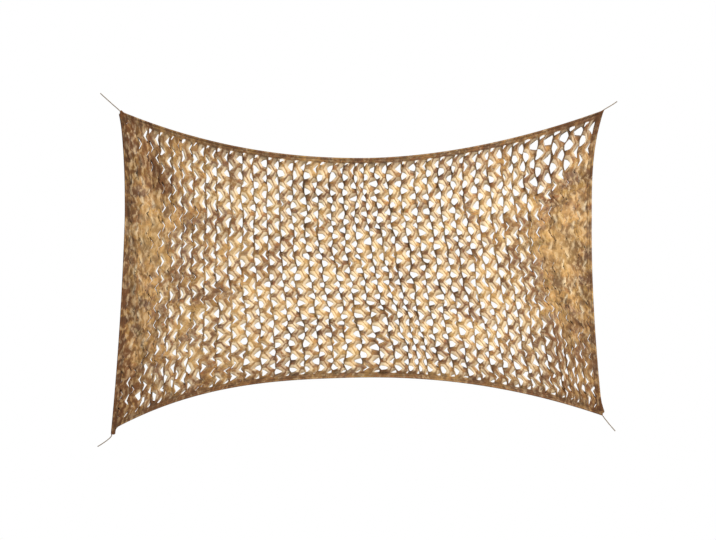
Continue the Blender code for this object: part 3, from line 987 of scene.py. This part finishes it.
def start_material(name, roughness, sheen):
    """A new material, its shader and the root wire of its tree."""
    material = bpy.data.materials.new(name)
    material.use_nodes = True
    shader = material.node_tree.nodes["Principled BSDF"]
    shader.inputs["Roughness"].default_value = roughness
    shader.inputs["Specular IOR Level"].default_value = CLOTH_SHINE
    shader.inputs["Sheen Weight"].default_value = sheen
    shader.inputs["Sheen Roughness"].default_value = SHEEN_ROUGHNESS
    return material, shader, Wire(material.node_tree)


def join(root, paint, bump, shader):
    """Lead the finished colour and bump into the shader."""
    root.tree.links.new(paint.socket, shader.inputs["Base Color"])
    root.tree.links.new(bump.socket, shader.inputs["Normal"])


def blots(place, scale, detail=2.0, roughness=0.5, output=0):
    """Soft blots of about 0.5, darker and brighter. The scale is roughly how many there are in a metre."""
    inputs = {"Vector": place, "Scale": scale, "Detail": detail, "Roughness": roughness}
    return place.node("ShaderNodeTexNoise", {}, inputs, output)


def bumped(height, strength, distance, **below):
    """A bump of some metres in height, on top of another bump where one is given as `Normal`."""
    inputs = {"Height": height, "Strength": strength, "Distance": distance, **below}
    return height.node("ShaderNodeBump", {}, inputs)


def colour(red, green, blue):
    """A paint colour given in the usual 0 to 255, turned into the linear values that the shader takes."""
    linear = [((value / 255 + 0.055) / 1.055) ** 2.4 for value in (red, green, blue)]
    return (*linear, 1.0)


print("a tan paint:", [round(value, 3) for value in colour(218, 166, 98)])

# %% [markdown]
# ## Printed pattern
#
# The cloth is a thin synthetic weave, printed with patches of earth colours. A painted picture of the
# print would repeat or blur. Each colour is instead one patch mask: a noise, bent by a second noise so
# that its rims wriggle, and cut off between two levels. The masks read the flat map, so the patches break
# across the open slits as real print does. Fine patches fade where the gathered cloth hides them.

# %% Ground and patches
# A patch shows where its noise passes from `low` to `high`. `offset` takes each from its own part of it.
Patch = namedtuple("Patch", "paint scale offset low high strength")
TAN, BROWN = colour(218, 166, 98), colour(142, 100, 64)
PATCHES = (
    Patch(colour(200, 156, 86), 8.0, 0.0, 0.46, 0.60, 0.8),
    Patch(colour(148, 118, 98), 9.0, 12.4, 0.52, 0.62, 0.8),
    Patch(colour(108, 78, 50), 8.0, 7.7, 0.54, 0.66, 0.85),
    Patch(colour(186, 128, 80), 19.0, 3.1, 0.56, 0.64, 0.7),
    Patch(colour(150, 134, 78), 23.0, 30.2, 0.60, 0.68, 0.5),
    Patch(colour(230, 198, 156), 21.0, 23.5, 0.57, 0.68, 0.8),
    Patch(colour(92, 66, 46), 15.0, 17.9, 0.63, 0.74, 0.7),
)
FINE_PATCHES = (
    Patch(colour(120, 84, 54), 44.0, 41.3, 0.51, 0.60, 0.8),
    Patch(colour(236, 206, 160), 40.0, 52.6, 0.53, 0.62, 0.8),
    Patch(colour(196, 124, 70), 36.0, 66.6, 0.57, 0.65, 0.75),
)
GROUND_SCALE = 3.4
GROUND_STEP = (0.42, 0.58)
PATCH_ROUGHNESS = 0.6  # how ragged the rims of the patches are
FINE_HIDDEN = 0.75  # how much of the fine patches is hidden in the gathered ends
BEND_SCALE = 16.0
BEND_REACH = 0.05  # how far the second noise moves a patch's rim, in metres


def ground(place, gathered):
    """Tan and brown ground, covered by one patch colour after another."""
    paint = blots(place, GROUND_SCALE, 4.0).step(*GROUND_STEP).between(TAN, BROWN)
    for patch in PATCHES + FINE_PATCHES:
        blot = blots(place.vector("ADD", (patch.offset, 0.0, 0.0)), patch.scale, 4.0, PATCH_ROUGHNESS)
        strength = patch.strength
        if patch in FINE_PATCHES:
            strength = patch.strength * (1.0 - gathered * FINE_HIDDEN)
        paint = paint.cover(patch.paint, blot.step(patch.low, patch.high) * strength)
    return paint


print("patch colours:", len((TAN, BROWN) + PATCHES + FINE_PATCHES))

# %% [markdown]
# ## Wear, painted highlights and painted shade on the print
#
# Out in the open part of the net, cut edges turn pale round every gap, most at their upper ends and tips,
# partly worn and partly a painted highlight where the arms face the light. Painted shade darkens strands
# seen edge-on and the lower ends of the gaps, and broad parts are duller or brighter. In the gathered ends
# the print bunches up into soft dark and pale patches with leaf-shaped marks. Painted shade and dirt keep
# to the dents of the hems. Painting all this on a picture would pin it to one shape of the net, so each is
# a
# layer: one paint over the last, shown by a mask.

# %% Layers
# A layer shows where its mask passes from `low` to `high`, and covers what lies below it by `amount`.
Layer = namedtuple("Layer", "paint low high amount")
DULL = Layer(colour(122, 80, 50), 0.50, 0.60, 0.35)
BRIGHT = Layer(colour(244, 200, 128), 0.51, 0.62, 0.25)
# Pale rims at the cut edges: wear and a painted highlight where the arms face the light.
WORN_AND_LIT_RIM = Layer(colour(255, 230, 188), 0.04, 0.24, 1.00)
# Painted shade on strands seen edge-on and at the lower ends of the gaps.
STRAND_PAINTED_SHADE = Layer(colour(50, 36, 26), 0.70, 1.00, 0.60)
SOFT_MARKS = (Layer(colour(100, 66, 40), 0.50, 0.64, 0.62), Layer(colour(236, 184, 118), 0.53, 0.66, 0.52))
LEAF_MARKS = (Layer(colour(92, 60, 34), 0.52, 0.64, 0.50), Layer(colour(244, 210, 160), 0.52, 0.64, 0.55))
# Painted shade and painted light of the darker and paler parts.
TONE_DARK, TONE_PALE = colour(112, 68, 30), colour(236, 188, 114)
# Painted shade and dirt in the dents of the hems.
HEM_SHADE_AND_DIRT = Layer(colour(66, 46, 28), 0.10, 1.00, 0.67)
OPEN_SHADE = 0.20  # how much of the dull paint covers the whole open part
DULL_RIMS = 0.35  # how much of a pale rim is lost where the cloth is dull
RIM_LEAST, STRAND_LEAST, HEM_LEAST = 0.75, 0.40, 0.22  # what an uneven noise leaves of these layers
TONE_LEAST, TONE_MOST = 0.5, 1.4  # how much the leaf marks break up the darker parts
BROAD_SCALE, SOFT_SCALE, WORN_SCALE = 5.5, 11.0, 22.0
WORN_STEP, STRAND_STEP, LEAF_STEP = (0.35, 0.65), (0.35, 0.60), (0.42, 0.58)
LEAF_SLANT = 0.5
LEAF_SCALE = (46.0, 22.0, 1.0)


def attribute(root, name):
    """A note kept on the cloth's vertices."""
    return root.node("ShaderNodeAttribute", {"attribute_name": name}, output="Fac")


def open_wear_light_and_shade(root, paint, place, worn, gathered):
    """The open part of the net: dull and bright parts, pale rims of wear and painted highlight, and strands
    with painted shade.
    """
    cut, fold = attribute(root, "cut_edge"), attribute(root, "painted_shade")
    open_part = 1.0 - gathered
    broad = blots(place, BROAD_SCALE, 3.0)
    dull = broad.step(DULL.low, DULL.high) * open_part
    bright = (1.0 - broad).step(BRIGHT.low, BRIGHT.high) * open_part
    # Pale rims: worn cut edges with a painted highlight.
    rim = cut.step(WORN_AND_LIT_RIM.low, WORN_AND_LIT_RIM.high) * worn.step(*WORN_STEP, RIM_LEAST, WORN_AND_LIT_RIM.amount)
    # Painted shade on strands seen edge-on and at the lower ends of the gaps, uneven by a noise.
    strand = fold.step(STRAND_PAINTED_SHADE.low, STRAND_PAINTED_SHADE.high)
    strand = strand * worn.step(*STRAND_STEP, STRAND_LEAST, STRAND_PAINTED_SHADE.amount)
    paint = paint.cover(DULL.paint, dull * DULL.amount + open_part * OPEN_SHADE)
    paint = paint.cover(WORN_AND_LIT_RIM.paint, rim * (1.0 - dull * DULL_RIMS))
    paint = paint.cover(BRIGHT.paint, bright * BRIGHT.amount)
    return paint.cover(STRAND_PAINTED_SHADE.paint, strand)


def marked(paint, blot, layers, gathered):
    """Dark marks where a noise is high and pale ones where it is low, in the gathered ends alone."""
    for layer, side in zip(layers, (blot, 1.0 - blot)):
        paint = paint.cover(layer.paint, gathered * side.step(layer.low, layer.high) * layer.amount)
    return paint


def gathered_marks_light_and_shade(root, paint, place, gathered):
    """The gathered ends: soft patches, leaf-shaped marks, and the painted shade and painted light of the
    darker and paler parts.
    """
    paint = marked(paint, blots(place, SOFT_SCALE), SOFT_MARKS, gathered)
    slant = {"Vector": place, "Rotation": (0.0, 0.0, LEAF_SLANT), "Scale": LEAF_SCALE}
    leaf = blots(root.node("ShaderNodeMapping", {}, slant), 1.0)
    paint = marked(paint, leaf, LEAF_MARKS, gathered)
    # The tone note gives painted shade above 0 and painted light below 0.
    tone = attribute(root, "tone")
    paint = paint.cover(TONE_DARK, tone.above_zero() * leaf.step(*LEAF_STEP, TONE_LEAST, TONE_MOST))
    return paint.cover(TONE_PALE, (tone * -1.0).above_zero())


def hem_shade_and_dirt(root, paint, worn):
    """Painted shade and dirt in the dents of the hems."""
    dent_shade = attribute(root, "hem_shade").step(HEM_SHADE_AND_DIRT.low, HEM_SHADE_AND_DIRT.high)
    return paint.cover(HEM_SHADE_AND_DIRT.paint, dent_shade * worn.step(*WORN_STEP, HEM_LEAST, HEM_SHADE_AND_DIRT.amount))


print("marks on the gathered ends:", len(SOFT_MARKS + LEAF_MARKS))

# %% [markdown]
# ## Weave and wrinkles
#
# Threads are two crossed waves with a fuzz of loose fibre, kept as bump and as a faint change of colour,
# because woven threads in the mesh would be millions of faces. Fine upright wrinkles are a stretched
# noise in the bump, strongest where the cloth is gathered.

# %% Printed cloth
THREAD_SCALE = 79.365  # a wave texture of scale 1 has 20 / (2 * pi) waves to a metre, so this has about 250
THREAD_GAPS = colour(70, 52, 38)
GAP_SHADE, FUZZ_SHADE = 0.12, 0.08
FUZZ_SCALE, FUZZ_STEP = 260.0, (0.45, 0.80)
WEAVE_STRENGTH, WEAVE_DEPTH = 0.25, 0.0006
WRINKLE_SCALE = (34.0, 8.0, 1.0)
WRINKLE_DEPTH = 0.009
OPEN_WRINKLES = 0.25  # the wrinkles of the open part, as a share of those in the gathered ends


def threads_along(flat, direction):
    """The crossed threads of one direction, as a wave from 0 to 1."""
    waves = {"Vector": flat, "Scale": THREAD_SCALE}
    return flat.node("ShaderNodeTexWave", {"bands_direction": direction}, waves)


def printed_cloth():
    """The net's finish, layer over layer, with a bump of weave and wrinkles."""
    material, shader, root = start_material("net_cloth_print", roughness=0.85, sheen=0.25)
    flat = root.node("ShaderNodeUVMap", {"uv_map": "flat_cloth"})
    bend = blots(flat, BEND_SCALE, 3.0, output="Color")
    place = bend.vector("MULTIPLY_ADD", (BEND_REACH, BEND_REACH, BEND_REACH), flat)
    gathered = attribute(root, "gathered")
    worn = blots(flat, WORN_SCALE)
    paint = ground(place, gathered)
    paint = open_wear_light_and_shade(root, paint, place, worn, gathered)
    paint = gathered_marks_light_and_shade(root, paint, place, gathered)
    paint = hem_shade_and_dirt(root, paint, worn)
    threads = (threads_along(flat, "X") + threads_along(flat, "Y")) * 0.5
    fuzz = blots(flat, FUZZ_SCALE, 4.0)
    paint = paint.cover(THREAD_GAPS, (1.0 - threads) * GAP_SHADE + fuzz.step(*FUZZ_STEP) * FUZZ_SHADE)
    weave = bumped(threads * 0.5 + fuzz, WEAVE_STRENGTH, WEAVE_DEPTH)
    wrinkles = blots(place.vector("MULTIPLY", WRINKLE_SCALE), 1.0)
    height = wrinkles * (gathered * (1.0 - OPEN_WRINKLES) + OPEN_WRINKLES)
    join(root, paint, bumped(height, 1.0, WRINKLE_DEPTH, Normal=weave), shader)
    return material


net.data.materials.append(printed_cloth())
print("nodes in the print:", len(net.data.materials[0].node_tree.nodes))

# %% [markdown]
# ## Rope fibre
#
# The rope is grey-brown fibre, a little dirty in places. Its three lobes are already in the mesh, so a
# picture of a rope would double them. The finish only needs fine fibres and a dull stain.

# %% Rope fibre
FIBRE_DARK, FIBRE_PALE, STAIN = colour(122, 104, 82), colour(166, 146, 118), colour(104, 84, 60)
FIBRE_SCALE, STAIN_SCALE = 900.0, 60.0
FIBRE_STEP, STAIN_STEP, STAIN_AMOUNT = (0.35, 0.70), (0.50, 0.80), 0.5
FIBRE_STRENGTH, FIBRE_DEPTH = 0.4, 0.0004


def rope_fibre():
    """The finish of the four ropes."""
    material, shader, root = start_material("cord_fibre_rope", roughness=0.7, sheen=0.2)
    place = root.node("ShaderNodeTexCoord", {}, output="Object")
    fibre = blots(place, FIBRE_SCALE, 3.0)
    paint = fibre.step(*FIBRE_STEP).between(FIBRE_DARK, FIBRE_PALE)
    paint = paint.cover(STAIN, blots(place, STAIN_SCALE).step(*STAIN_STEP) * STAIN_AMOUNT)
    join(root, paint, bumped(fibre, FIBRE_STRENGTH, FIBRE_DEPTH), shader)
    return material


fibre_finish = rope_fibre()
for rope in ropes:
    rope.data.materials.append(fibre_finish)
print("ropes finished:", len(ropes))

# %% [markdown]
# ## Studio
#
# The background is plain white, with a pale floor well below the net. A strong light high on the right
# models the cloth, a weak one on the left fills its shadows, and a third behind the net keeps its back
# readable. A picture of a sky could light it too, but three lamps are easier to steer.

# %% Studio
FLOOR_Z = -3.2
FLOOR_RADIUS = 4.6
FLOOR_WHITE = (0.9, 0.9, 0.9, 1.0)
Lamp = namedtuple("Lamp", "name place size watts")
LAMPS = (
    Lamp("key", (5.0, -6.0, 7.0), 2.5, 1430.0),
    Lamp("fill", (-4.0, -8.0, 0.5), 4.0, 60.0),
    Lamp("back", (-4.0, 7.0, 4.0), 3.0, 500.0),
)
LAMP_AIM = (0.0, 0.0, -0.7)
WHITE_SEEN, WHITE_LIGHT = 1.0, 0.12  # how bright the background looks, and how strongly it lights


def make_floor():
    """A round pale floor, staged below the net."""
    mesh = bmesh.new()
    bmesh.ops.create_circle(mesh, cap_ends=True, segments=96, radius=FLOOR_RADIUS)
    bmesh.ops.translate(mesh, vec=(0.0, 0.0, FLOOR_Z), verts=mesh.verts)
    floor = add_object("floor", mesh)
    material, shader, root = start_material("floor_white", roughness=0.9, sheen=0.0)
    shader.inputs["Base Color"].default_value = FLOOR_WHITE
    floor.data.materials.append(material)


def add_light(lamp):
    """A square lamp, turned towards the middle of the net."""
    data = bpy.data.lights.new(lamp.name, "AREA")
    data.shape = "SQUARE"
    data.size = lamp.size
    data.energy = lamp.watts
    light = bpy.data.objects.new(lamp.name, data)
    light.location = lamp.place
    light.rotation_euler = (Vector(LAMP_AIM) - Vector(lamp.place)).to_track_quat("-Z", "Y").to_euler()
    bpy.context.scene.collection.objects.link(light)


def white_world():
    """A world that is white to the camera and weaker as a light."""
    world = bpy.data.worlds.new("white")
    world.use_nodes = True
    tree = world.node_tree
    background = tree.nodes["Background"]
    background.inputs["Color"].default_value = (1.0, 1.0, 1.0, 1.0)
    camera_ray = Wire(tree).node("ShaderNodeLightPath", {}, output="Is Camera Ray")
    strength = camera_ray * (WHITE_SEEN - WHITE_LIGHT) + WHITE_LIGHT
    tree.links.new(strength.socket, background.inputs["Strength"])
    bpy.context.scene.world = world


make_floor()
for lamp in LAMPS:
    add_light(lamp)
white_world()
bpy.context.scene.view_settings.view_transform = "Standard"
print("lamps:", {lamp.name: lamp.watts for lamp in LAMPS})
